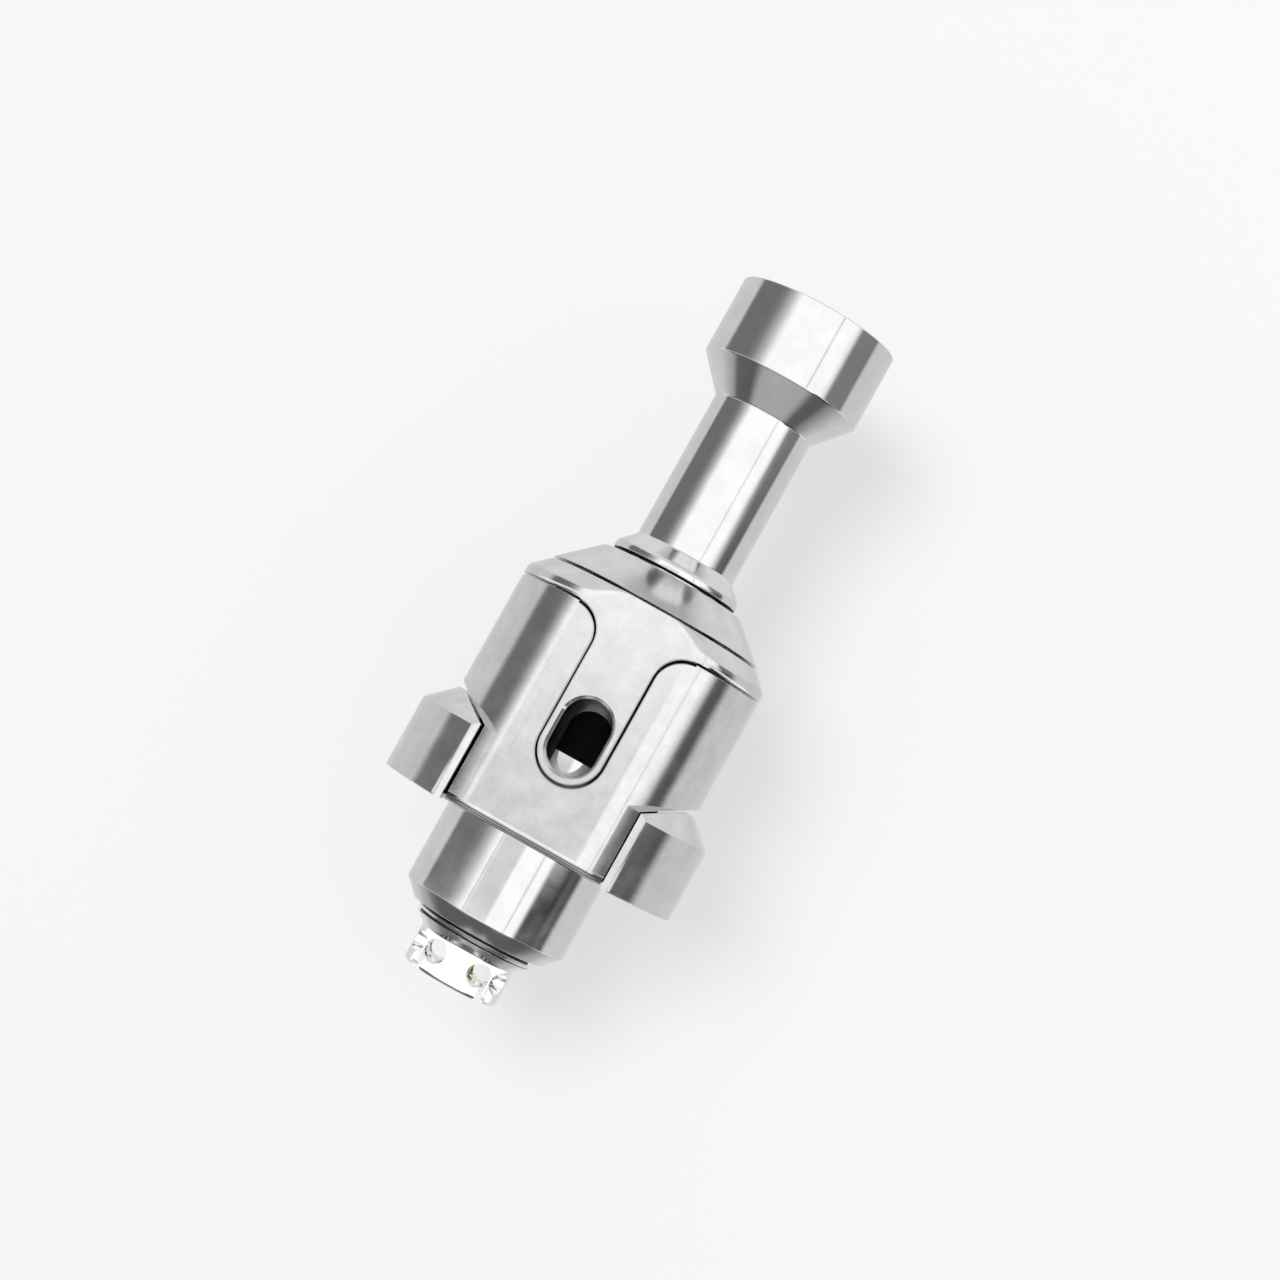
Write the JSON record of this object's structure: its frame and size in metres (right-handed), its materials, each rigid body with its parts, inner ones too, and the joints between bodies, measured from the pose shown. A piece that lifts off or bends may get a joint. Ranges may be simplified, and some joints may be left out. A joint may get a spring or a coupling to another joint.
{
  "type": "rebuildable atomiser bridge",
  "caption": "Turned stainless bridge for a box tank: flared cup on a stem, conical cap, ported chamber in a winged sleeve, and a base with a cross-drilled air pin.",
  "frame": {"origin": "on the shared turning axis, at the level of the air pin's lower face, which is the lowest point", "axes": "+Z along the turning axis from the air pin to the cup; -Y is the front, with the liquid port; the wings are on +X and -X"},
  "size_m": [0.016, 0.013, 0.0378],
  "materials": {
    "polished_steel": "turned and polished stainless steel",
    "satin_steel": "turned and milled stainless steel with a fine satin grain",
    "bright_steel": "bright polished stainless steel",
    "brass": "machined brass",
    "rubber": "black silicone rubber",
    "peek": "natural high-temperature plastic"
  },
  "bodies": {
    "barrel": {"chamber": "satin_steel", "sleeve": "satin_steel", "locking_ring": "satin_steel"},
    "cap_seal": {"cap_oring": "rubber"},
    "cap": {"top_cap": "polished_steel"},
    "chimney_seals": {"chimney_oring_upper": "rubber", "chimney_oring_lower": "rubber"},
    "chimney": {"chimney": "polished_steel"},
    "base": {"base": "polished_steel", "base_oring_upper": "rubber", "base_oring_lower": "rubber", "air_jet_front": "polished_steel", "air_jet_back": "polished_steel", "pin_insulator": "peek", "post_insulator": "peek", "positive_post": "brass", "negative_post": "polished_steel", "positive_pin": "brass"},
    "air_pin_seal": {"air_pin_oring": "rubber"},
    "air_pin": {"air_pin": "bright_steel"},
    "clamp_plate_positive": {"clamp_plate_positive": "polished_steel"},
    "clamp_screw_positive": {"clamp_screw_positive": "polished_steel"},
    "clamp_plate_negative": {"clamp_plate_negative": "polished_steel"},
    "clamp_screw_negative": {"clamp_screw_negative": "polished_steel"}
  },
  "joints": [
    {"name": "cap_lift", "type": "slide", "parent": "barrel", "child": "cap_seal", "axis": [0, 0, 1], "range_m": [0, 0.001]},
    {"name": "cap_turn", "type": "hinge", "parent": "cap_seal", "child": "cap", "pos_m": [0, 0, 0.0209], "axis": [0, 0, 1], "range_deg": [0, 720]},
    {"name": "chimney_slide", "type": "slide", "parent": "cap", "child": "chimney_seals", "axis": [0, 0, 1], "range_m": [0, 0.0012]},
    {"name": "chimney_turn", "type": "hinge", "parent": "chimney_seals", "child": "chimney", "pos_m": [0, 0, 0.0227], "axis": [0, 0, 1], "continuous": true},
    {"name": "base_turn", "type": "hinge", "parent": "barrel", "child": "base", "pos_m": [0, 0, 0.008], "axis": [0, 0, 1], "range_deg": [0, 90]},
    {"name": "air_pin_lift", "type": "slide", "parent": "base", "child": "air_pin_seal", "axis": [0, 0, 1], "range_m": [-0.001, 0.00025]},
    {"name": "air_pin_turn", "type": "hinge", "parent": "air_pin_seal", "child": "air_pin", "pos_m": [0, 0, 0.0028], "axis": [0, 0, 1], "range_deg": [-720, 180]},
    {"name": "clamp_lift_positive", "type": "slide", "parent": "base", "child": "clamp_plate_positive", "axis": [0, 0, 1], "range_m": [0, 0.0003]},
    {"name": "clamp_turn_positive", "type": "hinge", "parent": "clamp_plate_positive", "child": "clamp_screw_positive", "pos_m": [0.00215, 0, 0.0144], "axis": [0, 0, 1], "range_deg": [0, 360]},
    {"name": "clamp_lift_negative", "type": "slide", "parent": "base", "child": "clamp_plate_negative", "axis": [0, 0, 1], "range_m": [0, 0.0003]},
    {"name": "clamp_turn_negative", "type": "hinge", "parent": "clamp_plate_negative", "child": "clamp_screw_negative", "pos_m": [-0.00215, 0, 0.0144], "axis": [0, 0, 1], "range_deg": [0, 360]}
  ],
  "couplings": [
    {"joint": "cap_turn", "follows": "cap_lift", "rad_per_m": 12566},
    {"joint": "air_pin_turn", "follows": "air_pin_lift", "rad_per_m": 12566},
    {"joint": "clamp_turn_positive", "follows": "clamp_lift_positive", "rad_per_m": 20944},
    {"joint": "clamp_turn_negative", "follows": "clamp_lift_negative", "rad_per_m": 20944}
  ]
}
